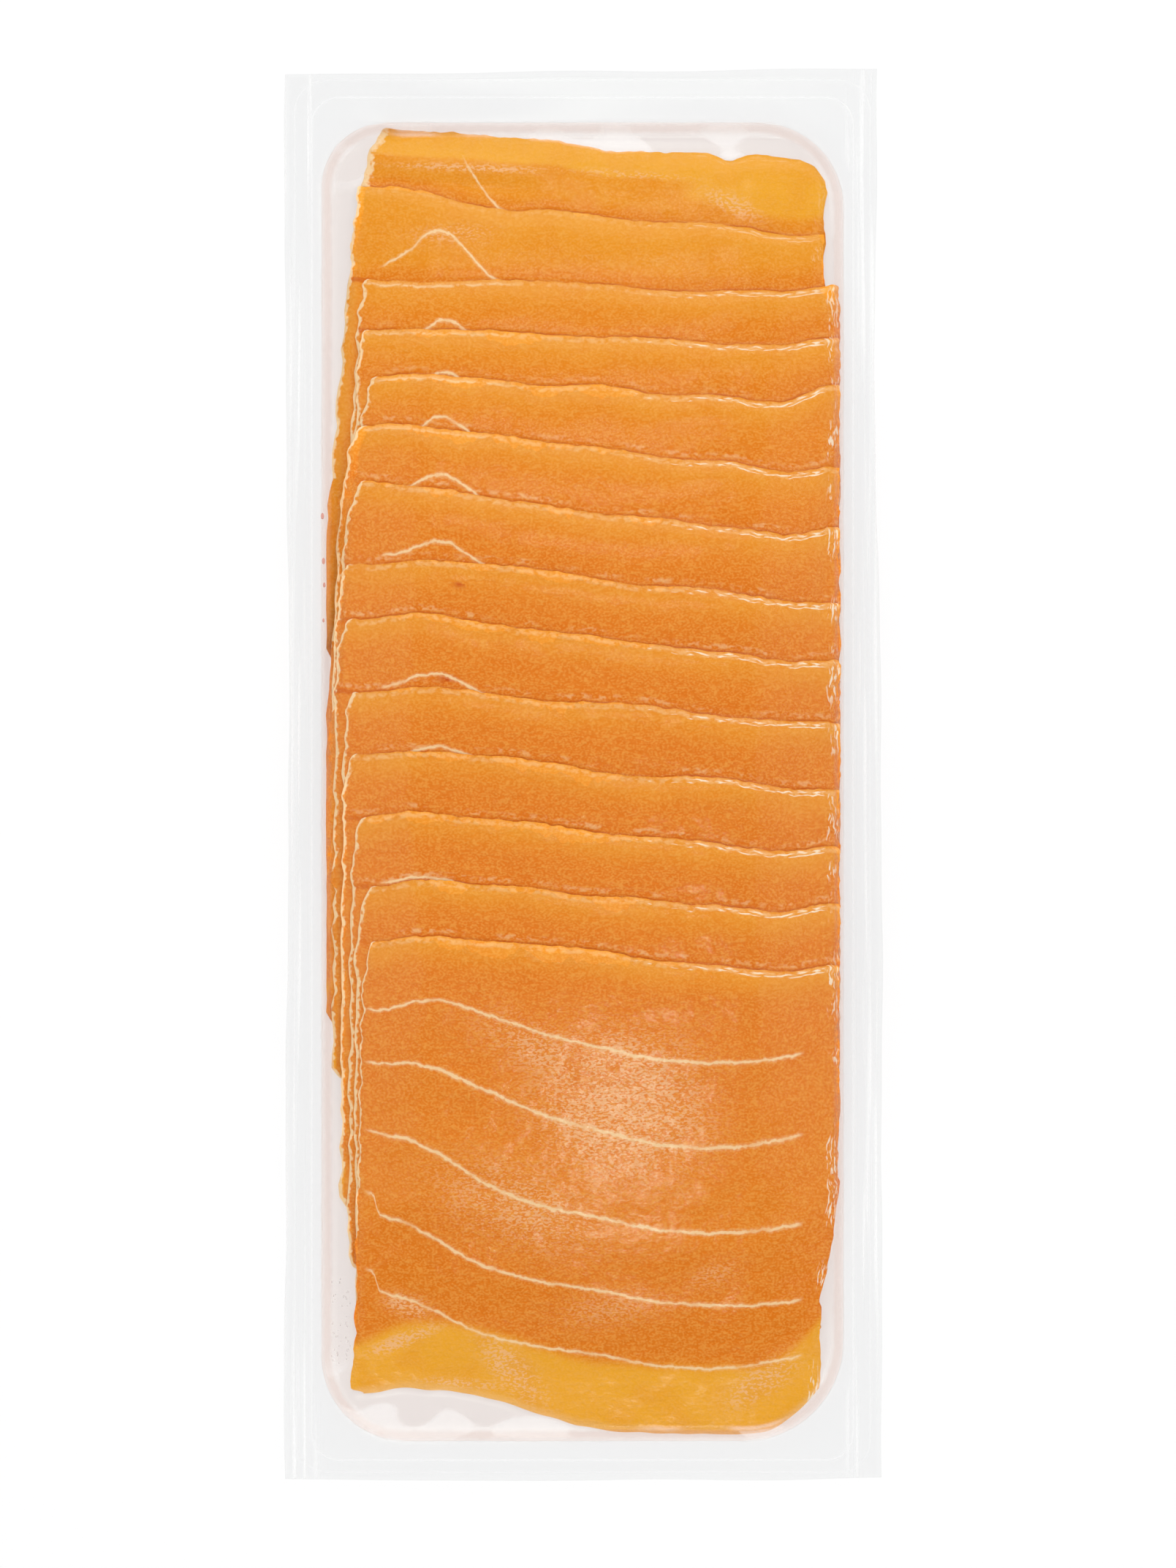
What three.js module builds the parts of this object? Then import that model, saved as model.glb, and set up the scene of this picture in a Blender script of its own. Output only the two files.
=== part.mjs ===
// A clear vacuum pack of smoked slices, lying flat with the slices' show side up.
//
// Millimetres, +Z up. The origin is on the surface that the pack lies on, under the middle of the film.
// +Y points to the end where the first slice lies, and +X across the slices. Each slice lies over the tail
// of the one before it, so its head edge shows as a step, and the last slice shows its whole face.
//
// The film clings to the slices, so the pack is one closed solid: a thin wavy rim of welded film round a
// pocket with round corners, whose top has a step at each head edge and a staircase down its left side.

import * as THREE from "three";

// The film
const FILM_WIDTH = 120;
const FILM_LENGTH = 282;
const FILM_THICKNESS = 0.3; // both webs together
const RIM_HEIGHT = 2.4; // of the welded rim over the surface that the pack lies on
const RIM_WAVE = 0.45; // how far the rim's edge rises and dips
const SIDE_BOW = 1.2; // how far the film's long sides curve in at their middle

// The pocket, with its own corner radius at each corner
const POCKET_HALF_WIDTH = 52.5;
const POCKET_HEAD = 131.3;
const POCKET_TAIL = -133.3;
const HEAD_RADIUS = { left: 14, right: 19 };
const TAIL_RADIUS = { left: 18, right: 20 };
const FLOOR_FILLET = 5; // the width over which the pocket's floor curves up to the rim

// The slices
const SLICE_LENGTH = 94;
const SLICE_THICKNESS = 1.5;
const SIDE_LIMIT = 51.4; // the pocket's wall stops the slices here
const STEP_WIDTH = 1.1; // how wide the film makes each step
const TAIL_SPREAD = 12; // the length over which a buried tail lets the slices above it down
const HEAD_BOW = 1.8; // how far a head edge sags right of its middle
const BOW_MIDDLE = 28;
const BOW_REACH = 20;

// How each slice was laid: where its head edge crosses the middle, its turn in degrees, its left corner and
// its width.
const LAID = [
  { head: 126.8, turn: 3.2, left: -41, width: 89 },
  { head: 113.4, turn: 5.2, left: -45, width: 94 },
  { head: 99.2, turn: 1.3, left: -43.5, width: 95 },
  { head: 88.6, turn: 1.9, left: -43, width: 95 },
  { head: 78.3, turn: 3.2, left: -42, width: 95 },
  { head: 66.6, turn: 5.8, left: -45, width: 97 },
  { head: 53.8, turn: 6.4, left: -44, width: 97 },
  { head: 40.6, turn: 4.4, left: -47, width: 98 },
  { head: 28.8, turn: 5, left: -47, width: 98 },
  { head: 15.4, turn: 4, left: -46, width: 98 },
  { head: 2.4, turn: 4.2, left: -45, width: 97 },
  { head: -10, turn: 4.4, left: -44.5, width: 97 },
  { head: -23.2, turn: 3, left: -43, width: 96 },
  { head: -34.4, turn: 3, left: -42.5, width: 95.5 },
];
const LAST = LAID[LAID.length - 1];

// The grid that the solid's faces follow
const RIM_COLUMNS = [60, 56, POCKET_HALF_WIDTH, 51.9, 50.9]; // from the film's edge to the slices
const STAIR_END = -40; // of the columns that the staircase of left edges needs
const STAIR_COLUMNS = 9;
const FACE_COLUMNS = 13;
const STEP_FOOT = 0.6; // how far before a head edge its step starts
const STEP_CREST = 0.7; // how far past a head edge its step is full
const RAMP_ROWS = 6; // down the last slice's face

/** 0 below 0, 1 above 1, and a smooth rise between. */
const smooth = (t) => THREE.MathUtils.smoothstep(t, 0, 1);

/** The larger of two heights, rounded where they meet. */
function roundedMax(a, b, round) {
  const meet = Math.max(round - Math.abs(a - b), 0) / round;
  return Math.max(a, b) + (meet * meet * round) / 4;
}

/** How far a head edge sags from a straight line at x. */
const headBow = (x) => -HEAD_BOW * Math.exp(-(((x - BOW_MIDDLE) / BOW_REACH) ** 2));

/** Where a slice's head edge lies at x. */
const headLine = (slice, x) => slice.head - Math.tan(THREE.MathUtils.degToRad(slice.turn)) * x + headBow(x);

/** Where the last slice's tail edge lies at x: a soft wave with its deepest point right of the middle. */
const tailLine = (x) => headLine(LAST, x) - SLICE_LENGTH - 2.4 * Math.sin((x + 4) / 16) + 0.0022 * x * x;

/** The pocket's half width at y on one side, narrowing round its corners. */
function pocketHalfWidth(y, side) {
  const radius = y > 0 ? HEAD_RADIUS[side] : TAIL_RADIUS[side];
  const end = y > 0 ? POCKET_HEAD : -POCKET_TAIL;
  const past = THREE.MathUtils.clamp(Math.abs(y) - (end - radius), 0, radius);
  return POCKET_HALF_WIDTH - radius + Math.sqrt(radius * radius - past * past);
}

/** How far a point lies inside the pocket's outline, below 0 outside it. */
function depthInPocket(x, y) {
  const radius = (y > 0 ? HEAD_RADIUS : TAIL_RADIUS)[x < 0 ? "left" : "right"];
  const acrossPast = Math.abs(x) - (POCKET_HALF_WIDTH - radius);
  const alongPast = (y > 0 ? y - POCKET_HEAD : POCKET_TAIL - y) + radius;
  const outside = Math.hypot(Math.max(acrossPast, 0), Math.max(alongPast, 0));
  return radius - outside - Math.min(Math.max(acrossPast, alongPast), 0);
}

/** How much of a slice's thickness lies at a point: 1 on the slice, 0 off it, with soft edges. */
function coverOf(slice, x, y) {
  const turn = THREE.MathUtils.degToRad(slice.turn);
  const belowHead = headLine(slice, x) - y;
  const lean = belowHead * Math.sin(turn);
  const left = Math.max(slice.left - lean, -SIDE_LIMIT);
  const right = Math.min(slice.left + slice.width - lean, SIDE_LIMIT);
  const across = smooth((x - left) / STEP_WIDTH + 0.5) * smooth((right - x) / STEP_WIDTH + 0.5);
  const head = smooth(belowHead / STEP_WIDTH + 0.5);
  const tail =
    slice === LAST
      ? smooth((y - tailLine(x)) / STEP_WIDTH + 0.5)
      : THREE.MathUtils.clamp((SLICE_LENGTH - belowHead) / TAIL_SPREAD + 0.5, 0, 1);
  return across * head * tail;
}

/** The height of the slices heaped at a point. */
const heapHeight = (x, y) => SLICE_THICKNESS * LAID.reduce((sum, slice) => sum + coverOf(slice, x, y), 0);

/** The underside: the floor at 0, curving up to the rim, which waves more towards its edge. */
function lowerSkin(x, y) {
  const inside = depthInPocket(x, y);
  const outwards = smooth(-inside / 7);
  const wave = RIM_WAVE * (Math.sin(y / 23 + 0.6) + 0.6 * Math.sin(x / 17 + y / 41));
  return RIM_HEIGHT * (1 - smooth(inside / FLOOR_FILLET)) + outwards * wave;
}

/** The top: the film over the slices, or over the floor where no slice lies. */
function upperSkin(x, y) {
  const overFloor = lowerSkin(x, y) + FILM_THICKNESS;
  const heap = depthInPocket(x, y) > 0 ? heapHeight(x, y) : 0;
  return heap > 0 ? roundedMax(heap + FILM_THICKNESS, overFloor, 0.8) : overFloor;
}

/** The columns' distances from the middle, left to right, before they close in round the pocket's corners. */
function columnPlaces() {
  const spread = (from, to, count) => Array.from({ length: count }, (_, i) => from + ((to - from) * i) / count);
  const inner = RIM_COLUMNS[RIM_COLUMNS.length - 1];
  const stair = spread(-inner, STAIR_END, STAIR_COLUMNS);
  const face = spread(STAIR_END, inner, FACE_COLUMNS);
  return [...RIM_COLUMNS.slice(0, -1).map((x) => -x), ...stair, ...face, ...RIM_COLUMNS.toReversed()];
}

/** The rows from tail to head, each as a function that gives y at x. */
function rowLines() {
  const between = (a, b, share) => (x) => THREE.MathUtils.lerp(a(x), b(x), share);
  const straight = (y) => () => y;
  const tailFoot = (x) => tailLine(x) - STEP_FOOT;
  const tailCrest = (x) => tailLine(x) + STEP_CREST;
  const edge = FILM_LENGTH / 2;
  const rows = [straight(-edge), straight(-edge + 4), straight(POCKET_TAIL)];
  rows.push(between(straight(POCKET_TAIL), tailFoot, 0.4), tailFoot, tailCrest);
  const foot = (slice) => (x) => headLine(slice, x) + STEP_FOOT;
  const crest = (slice) => (x) => headLine(slice, x) - STEP_CREST;
  for (let i = 1; i < RAMP_ROWS; i += 1) rows.push(between(tailCrest, crest(LAST), i / RAMP_ROWS));
  LAID.toReversed().forEach((slice, i, fromLast) => {
    rows.push(crest(slice), foot(slice));
    const next = fromLast[i + 1];
    if (next) rows.push(between(foot(slice), crest(next), 0.5));
  });
  rows.push(between(foot(LAID[0]), straight(POCKET_HEAD), 0.6), straight(POCKET_HEAD));
  rows.push(straight(edge - 4), straight(edge));
  return rows;
}

/** Moves a column in round the pocket's corners, and out to the film's bowed side past the pocket. */
function acrossPlace(column, y) {
  const side = column < 0 ? "left" : "right";
  const pocket = pocketHalfWidth(THREE.MathUtils.clamp(y, POCKET_TAIL, POCKET_HEAD), side);
  const edge = FILM_WIDTH / 2 - SIDE_BOW * (1 - ((2 * y) / FILM_LENGTH) ** 2);
  const distance = Math.abs(column);
  const half = FILM_WIDTH / 2;
  const placed =
    distance <= POCKET_HALF_WIDTH
      ? (distance * pocket) / POCKET_HALF_WIDTH
      : THREE.MathUtils.mapLinear(distance, POCKET_HALF_WIDTH, half, pocket, edge);
  return Math.sign(column) * placed;
}

/** The pack: a box divided into the grid's cells, with every vertex moved to its place on the two skins. */
function sealedPackGeometry() {
  const columns = columnPlaces();
  const rows = rowLines();
  const across = columns.length - 1;
  const along = rows.length - 1;
  const geometry = new THREE.BoxGeometry(across, along, 1, across, along, 1);
  const places = geometry.getAttribute("position");
  for (let i = 0; i < places.count; i += 1) {
    const column = columns[Math.round(places.getX(i) + across / 2)];
    const y = rows[Math.round(places.getY(i) + along / 2)](column);
    const x = acrossPlace(column, y);
    places.setXYZ(i, x, y, places.getZ(i) > 0 ? upperSkin(x, y) : lowerSkin(x, y));
  }
  geometry.computeVertexNormals();
  return geometry;
}

const filledFilm = new THREE.MeshStandardMaterial({ color: 0xe78c36, roughness: 0.25, metalness: 0 });
const sealedPack = new THREE.Mesh(sealedPackGeometry(), filledFilm);
sealedPack.name = "sealed_pack";

const pack = new THREE.Group();
pack.add(sealedPack);

export default pack;
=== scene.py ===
"""A clear vacuum pack of thin smoked slices, lying flat with the slices' show side up.

Lengths are in millimetres until a mesh is made, and in metres after that. x runs across the slices, y along
the film to the end where the first slice lies, and z up from the surface that the pack lies on.

The lower film is a shallow formed pocket with a welded rim. Each slice lies over the tail of the one before
it, and sinks wherever a slice below it ends. The upper film is drawn tight over them all.
"""

import logging
import math
from dataclasses import dataclass
from functools import lru_cache
from typing import Any, Callable

import bpy
import numpy as np
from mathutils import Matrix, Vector


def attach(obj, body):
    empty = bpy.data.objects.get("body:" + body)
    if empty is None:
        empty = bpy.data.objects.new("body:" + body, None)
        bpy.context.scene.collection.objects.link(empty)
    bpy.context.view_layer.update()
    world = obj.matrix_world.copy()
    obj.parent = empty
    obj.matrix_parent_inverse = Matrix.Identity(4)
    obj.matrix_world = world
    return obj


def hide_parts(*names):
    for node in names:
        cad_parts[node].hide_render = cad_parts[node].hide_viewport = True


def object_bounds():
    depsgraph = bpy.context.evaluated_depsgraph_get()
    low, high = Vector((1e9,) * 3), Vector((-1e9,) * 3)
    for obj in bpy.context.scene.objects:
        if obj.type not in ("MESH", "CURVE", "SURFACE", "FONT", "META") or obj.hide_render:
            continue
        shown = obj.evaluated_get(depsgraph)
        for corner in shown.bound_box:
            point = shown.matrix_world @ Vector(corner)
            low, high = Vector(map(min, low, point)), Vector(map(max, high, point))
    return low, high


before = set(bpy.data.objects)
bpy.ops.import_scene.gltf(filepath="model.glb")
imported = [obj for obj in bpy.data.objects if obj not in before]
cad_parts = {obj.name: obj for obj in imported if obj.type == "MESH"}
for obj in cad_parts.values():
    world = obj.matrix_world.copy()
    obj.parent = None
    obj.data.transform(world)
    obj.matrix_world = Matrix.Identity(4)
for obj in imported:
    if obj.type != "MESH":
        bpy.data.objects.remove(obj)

Array = np.ndarray
Pair = tuple[float, float]
Triple = tuple[float, float, float]
Colour = tuple[float, float, float]
Line = Callable[[Array], Array]

LOG = logging.getLogger("pack")
MM = 0.001
WHITE: Colour = (1, 1, 1)
NODE = "sealed_pack"
CAD_BOX = [list(corner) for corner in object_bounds()]


# Curves and uneven surfaces
# --------------------------


def smooth(value: Array | float, start: float = 0.0, end: float = 1.0) -> Array:
    """0 up to start, 1 from end on, and 3t² - 2t³ between them."""
    t = np.clip((np.asarray(value, float) - start) / (end - start), 0, 1)
    return t * t * (3 - 2 * t)


def bell(value: Array, middle: float, reach: float) -> Array:
    """A bump of height 1 at the middle: e^(-(distance / reach)²)."""
    return np.exp(-(((value - middle) / reach) ** 2))


def sigmoid(value: Array, middle: float, reach: float) -> Array:
    """A rise from 0 to 1 round the middle: 1 / (1 + e^(-distance / reach))."""
    return 1 / (1 + np.exp(-(value - middle) / reach))


@dataclass(frozen=True)
class Uneven:
    """A smooth uneven surface of unit strength: a sum of sine waves of random lengths and directions."""

    seed: int
    shortest: float
    longest: float
    waves: int = 14

    def at(self, x: Array, y: Array | float = 0.0) -> Array:
        """Sums sin(2π (x cos a + y sin a) / length + phase) over the waves, and divides by √(waves / 2).

        Args:
            x: places across, in millimetres.
            y: places along, in millimetres.

        Returns:
            The heights, mostly between -1.5 and 1.5.
        """
        draw = np.random.default_rng(self.seed)
        lengths = np.exp(draw.uniform(math.log(self.shortest), math.log(self.longest), self.waves))
        angles = draw.uniform(0, 2 * math.pi, self.waves)
        phases = draw.uniform(0, 2 * math.pi, self.waves)
        total = np.zeros(np.broadcast(x, y).shape)
        for length, angle, phase in zip(lengths, angles, phases):
            total += np.sin(2 * math.pi * (x * math.cos(angle) + y * math.sin(angle)) / length + phase)
        return total / math.sqrt(self.waves / 2)

    def along(self, place: Array) -> Array:
        """The heights along a line, read from a table of places a tenth of a millimetre apart."""
        return np.interp(place, *_wave_table(self))


@lru_cache(maxsize=None)
def _wave_table(uneven: Uneven) -> tuple[Array, Array]:
    """An uneven line's heights at even places from -160 to 160."""
    places = np.linspace(-160, 160, 3201)
    return places, uneven.at(places)


def stations(*stretches: Triple) -> Array:
    """Places along a line, each stretch a start, an end and the spacing wanted between them.

    Args:
        stretches: (start, end, spacing), each starting where the one before it ends.

    Returns:
        The places in order, without repeats.
    """
    parts = [
        np.linspace(start, end, max(1, math.ceil(abs(end - start) / spacing)), endpoint=False)
        for start, end, spacing in stretches
    ]
    return np.concatenate([*parts, [stretches[-1][1]]])


# Meshes
# ------


def quads(index: Array) -> Array:
    """The four corners of each cell of a grid of vertex numbers, anticlockwise seen from above.

    Args:
        index: vertex numbers, with rows running from head to tail and columns to the right.

    Returns:
        One row of four vertex numbers for each cell.
    """
    corners = (index[:-1, :-1], index[1:, :-1], index[1:, 1:], index[:-1, 1:])
    return np.stack(corners, axis=-1).reshape(-1, 4)


def make_object(name: str, places: Array, faces: Array, material: bpy.types.Material) -> bpy.types.Object:
    """Makes a smooth-shaded mesh object at the origin.

    Args:
        name: the object's name.
        places: the vertices, in millimetres.
        faces: vertex numbers, with the same count of corners in every face.
        material: the object's finish.

    Returns:
        The object.
    """
    mesh = bpy.data.meshes.new(name)
    mesh.vertices.add(len(places))
    mesh.vertices.foreach_set("co", (places * MM).astype(np.float32).ravel())
    sides = faces.shape[1]
    mesh.loops.add(faces.size)
    mesh.loops.foreach_set("vertex_index", faces.astype(np.int32).ravel())
    mesh.polygons.add(len(faces))
    mesh.polygons.foreach_set("loop_start", np.arange(len(faces), dtype=np.int32) * sides)
    mesh.update(calc_edges=True)
    mesh.validate()
    mesh.shade_smooth()
    mesh.set_sharp_from_angle(angle=math.radians(60))
    mesh.materials.append(material)
    made = bpy.data.objects.new(name, mesh)
    bpy.context.scene.collection.objects.link(made)
    return made


def make_piece(name: str, places: Array, faces: Array, material: bpy.types.Material) -> bpy.types.Object:
    """Makes a mesh object, as make_object does, which rides on the pack.

    Args:
        name: the piece's name.
        places: the vertices, in millimetres.
        faces: vertex numbers, with the same count of corners in every face.
        material: the piece's finish.

    Returns:
        The piece.
    """
    piece = make_object(name, places, faces, material)
    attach(piece, "root")
    return piece


def grid_mesh(x: Array, y: Array, z: Array) -> tuple[Array, Array]:
    """The vertices and faces of an open sheet, from its places on a grid."""
    return np.stack([x, y, z], axis=-1).reshape(-1, 3), quads(np.arange(x.size).reshape(x.shape))


def write_values(piece: bpy.types.Object, name: str, values: Array) -> None:
    """Stores one number for each vertex, for the material to read."""
    layer = piece.data.attributes.new(name, "FLOAT", "POINT")
    layer.data.foreach_set("value", values.astype(np.float32).ravel())


# Shader maths
# ------------


@dataclass(frozen=True)
class Term:
    """A number in a material. Python's arithmetic on it adds Math nodes."""

    net: "Net"
    socket: bpy.types.NodeSocket

    def math(self, operation: str, *values: "Term | float") -> "Term":
        """Adds one Math node with this term first, then the values."""
        node = self.net.add("Math", {"operation": operation}, dict(enumerate((self, *values))))
        return Term(self.net, node.outputs[0])

    def __add__(self, other: "Term | float") -> "Term":
        """This term plus another."""
        return self.math("ADD", other)

    __radd__ = __add__

    def __sub__(self, other: "Term | float") -> "Term":
        """This term less another."""
        return self.math("SUBTRACT", other)

    def __rsub__(self, other: float) -> "Term":
        """A number less this term."""
        return (self * -1).math("ADD", other)

    def __mul__(self, other: "Term | float") -> "Term":
        """This term times another."""
        return self.math("MULTIPLY", other)

    __rmul__ = __mul__

    def __truediv__(self, other: "Term | float") -> "Term":
        """This term over another."""
        return self.math("DIVIDE", other)

    def __abs__(self) -> "Term":
        """This term without its sign."""
        return self.math("ABSOLUTE")

    def within(self, start: float, end: float, soft: float) -> "Term":
        """1 between two values and 0 beyond them, with smooth steps of a given width at both."""
        return self.rise(start - soft / 2, start + soft / 2) * self.rise(end + soft / 2, end - soft / 2)

    def rise(self, start: float, end: float) -> "Term":
        """0 at start, 1 at end, and smooth between them. Start may be the larger.

        Args:
            start: the value that gives 0.
            end: the value that gives 1.

        Returns:
            The share.
        """
        ends = {"From Min": min(start, end), "From Max": max(start, end)}
        ends |= {"To Min": float(start > end), "To Max": float(start <= end)}
        node = self.net.add("MapRange", {"interpolation_type": "SMOOTHSTEP"}, {"Value": self, **ends})
        return Term(self.net, node.outputs["Result"])


class Net:
    """A node tree, and the few ways in which this pack's finishes add to it."""

    def __init__(self, owner: bpy.types.Material | bpy.types.World) -> None:
        """Starts an empty node tree for what it finishes.

        Args:
            owner: the material or the world.
        """
        self.owner = owner
        owner.use_nodes = True
        self.tree = owner.node_tree
        self.tree.nodes.clear()

    def add(self, kind: str, settings: dict[str, Any], sockets: dict[str | int, Any]) -> bpy.types.Node:
        """Adds one node.

        Args:
            kind: the node's type without ShaderNode.
            settings: its properties, which are set before its sockets.
            sockets: its inputs by name or number, each a value, a colour, a term, an output socket, or a
                node whose first output counts.

        Returns:
            The node.
        """
        node = self.tree.nodes.new(f"ShaderNode{kind}")
        for key, value in settings.items():
            setattr(node, key, value)
        for key, value in sockets.items():
            source = value.socket if isinstance(value, Term) else value
            source = source.outputs[0] if isinstance(source, bpy.types.Node) else source
            if isinstance(source, bpy.types.NodeSocket):
                self.tree.links.new(source, node.inputs[key])
            else:
                colour = node.inputs[key].type == "RGBA"
                node.inputs[key].default_value = (*value, 1) if colour else value
        return node

    def place(self, kind: str = "Object") -> bpy.types.NodeSocket:
        """The place on the object in metres, or another kind of coordinates."""
        return self.add("TexCoord", {}, {}).outputs[kind]

    def parts(self, vector: bpy.types.NodeSocket) -> tuple[Term, Term, Term]:
        """The x, y and z of a vector."""
        node = self.add("SeparateXYZ", {}, {0: vector})
        return tuple(Term(self, output) for output in node.outputs)

    def across_and_along(self) -> tuple[Term, Term]:
        """The places across and along on the object, in millimetres."""
        x, y, _ = self.parts(self.place())
        return x / MM, y / MM

    def value(self, name: str) -> Term:
        """The number stored at the vertices under a name."""
        node = self.add("Attribute", {"attribute_name": name}, {})
        return Term(self, node.outputs["Fac"])

    def noise(self, size: float, detail: float = 2.0, stretch: Triple = (1, 1, 1)) -> Term:
        """Noise between about 0.2 and 0.8 on the object's own coordinates.

        Args:
            size: the size of its features, in millimetres.
            detail: how many finer layers it has.
            stretch: how much longer its features are along each axis.

        Returns:
            The noise.
        """
        scale = tuple(1 / (size * MM * longer) for longer in stretch)
        place = self.add("VectorMath", {"operation": "MULTIPLY"}, {0: self.place(), 1: scale})
        node = self.add("TexNoise", {}, {"Vector": place, "Scale": 1.0, "Detail": detail})
        return Term(self, node.outputs["Fac"])

    def streaks(self, along: Term, across: Term, detail: float = 2.0) -> Term:
        """Noise between about 0.2 and 0.8 on two measures, each given in sizes of its features.

        Args:
            along: the first measure.
            across: the second measure.
            detail: how many finer layers it has.

        Returns:
            The noise.
        """
        place = self.add("CombineXYZ", {}, {0: along, 1: across})
        sockets = {"Vector": place, "Scale": 1.0, "Detail": detail}
        node = self.add("TexNoise", {"noise_dimensions": "2D"}, sockets)
        return Term(self, node.outputs["Fac"])

    def blend(self, share: Term | float, first: Any, second: Any) -> bpy.types.NodeSocket:
        """Mixes two colours: the first at share 0, the second at share 1."""
        return self.add("Mix", {"data_type": "RGBA"}, {0: share, 6: first, 7: second}).outputs[2]

    def mix(self, share: Term | float, first: bpy.types.Node, second: bpy.types.Node) -> bpy.types.Node:
        """Mixes two shaders: the first at share 0, the second at share 1."""
        return self.add("MixShader", {}, {0: share, 1: first, 2: second})

    def bump(self, height: Term, depth: float) -> bpy.types.Node:
        """A normal from a height that runs from 0 to 1 over a depth in millimetres."""
        return self.add("Bump", {}, {"Strength": 1.0, "Distance": depth * MM, "Height": height})

    def finish(self, shader: bpy.types.Node) -> bpy.types.Material | bpy.types.World:
        """Joins a shader to the tree's output and returns what it finishes.

        Args:
            shader: the node whose first output is the whole shader.

        Returns:
            The material or the world.
        """
        kind = "OutputWorld" if isinstance(self.owner, bpy.types.World) else "OutputMaterial"
        self.add(kind, {}, {"Surface": shader})
        return self.owner


def material_net(name: str) -> Net:
    """Starts a new material's node tree."""
    return Net(bpy.data.materials.new(name))


def linear(red: int, green: int, blue: int) -> Colour:
    """A screen colour of 0 to 255 as the linear colour that a shader takes."""
    shares = (red / 255, green / 255, blue / 255)
    return tuple(c / 12.92 if c <= 0.04045 else ((c + 0.055) / 1.055) ** 2.4 for c in shares)


# The pocket in the lower film
# ----------------------------


@dataclass(frozen=True)
class Pocket:
    """The shallow tray that is formed in the lower film, and the welded rim round it."""

    half_width: float = 52.3
    head: float = 130.9
    tail: float = -133.4
    head_radii: Pair = (13.0, 17.0)
    tail_radii: Pair = (17.0, 20.0)
    rim_height: float = 2.0
    side_fillet: float = 3.2
    end_fillet: float = 2.8
    rim_wave: float = 0.4  # how far the rim waves up and down outside the pocket

    def half_width_at(self, x: Array, y: Array) -> Array:
        """Half the pocket's width, less a circle's sagitta where y passes a corner's centre.

        Args:
            x: places across, of which only the side counts.
            y: places along.

        Returns:
            The half width on that side.
        """
        head = np.where(x < 0, *self.head_radii)
        tail = np.where(x < 0, *self.tail_radii)
        radius = np.where(y > 0, head, tail)
        end = np.where(y > 0, self.head, -self.tail)
        past = np.clip(np.abs(y) - (end - radius), 0, radius)
        return self.half_width - radius + np.sqrt(radius**2 - past**2)

    def floor(self, x: Array, y: Array) -> Array:
        """The lower film's height: 0 on the floor, rising by two fillets to the rim, which waves outwards.

        The rise is the rim's height times 1 - a b, where a and b go smoothly from 0 at the outline to 1 at
        each fillet's foot, across and along.

        Args:
            x: places across, in millimetres.
            y: places along, in millimetres.

        Returns:
            The height at each place.
        """
        side_gap = self.half_width_at(x, y) - np.abs(x)
        end_gap = np.where(y > 0, self.head - y, y - self.tail)
        inside = smooth(side_gap, 0, self.side_fillet) * smooth(end_gap, 0, self.end_fillet)
        outside = np.hypot(np.maximum(-side_gap, 0), np.maximum(-end_gap, 0))
        wave = self.rim_wave * (np.sin(y / 23 + 0.6) + 0.6 * np.sin(x / 17 + y / 41))
        return self.rim_height * (1 - inside) + smooth(outside, 0, 7) * wave


# The slices
# ----------


@dataclass(frozen=True)
class Laid:
    """How one slice was laid, and how its edges run."""

    head: float  # where its head edge crosses the pack's middle
    slope: float  # how far its head edge falls for each millimetre to the right
    left: float  # where its head edge's left corner is
    flare: float = 2.0  # how far its left side runs out just below that corner
    lean: float = 0.0  # how far its left side runs out for each millimetre further down
    droop: float = 2.5  # how far its head edge falls off to the left corner
    lift: float = 2.0  # how far its head edge turns up at the right side
    right: float = 51.5  # where its right side is
    crest: float = 13.5  # how far below the head edge its first cream line has its crest
    bow: Triple = (0.0, 0.0, 1.0)  # a rise to the left: its height, start and end
    notch: float = 0.0  # the depth of a bite out of its head edge
    corner: float = 0.5  # the radius of its right-hand head corner
    lines_from: float = -39.5  # where its cream lines start
    tail_cut: float = 2.8  # how far its left side turns in at the tail corner
    tail_radius: float = 5.0  # how far above the tail edge that turn starts
    tail_bulge: float = 0.0  # how far its left side runs out just above that
    rim: float = 0.45  # how wide the cream skin along its left side is
    frost: float = 0.1  # how white the line along the left part of its head edge is
    stain: Triple = (0.0, 0.0, 0.0)  # a red stain: its place and its size
    fold: float = 0.0  # how high the ridge across its left part stands


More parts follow.
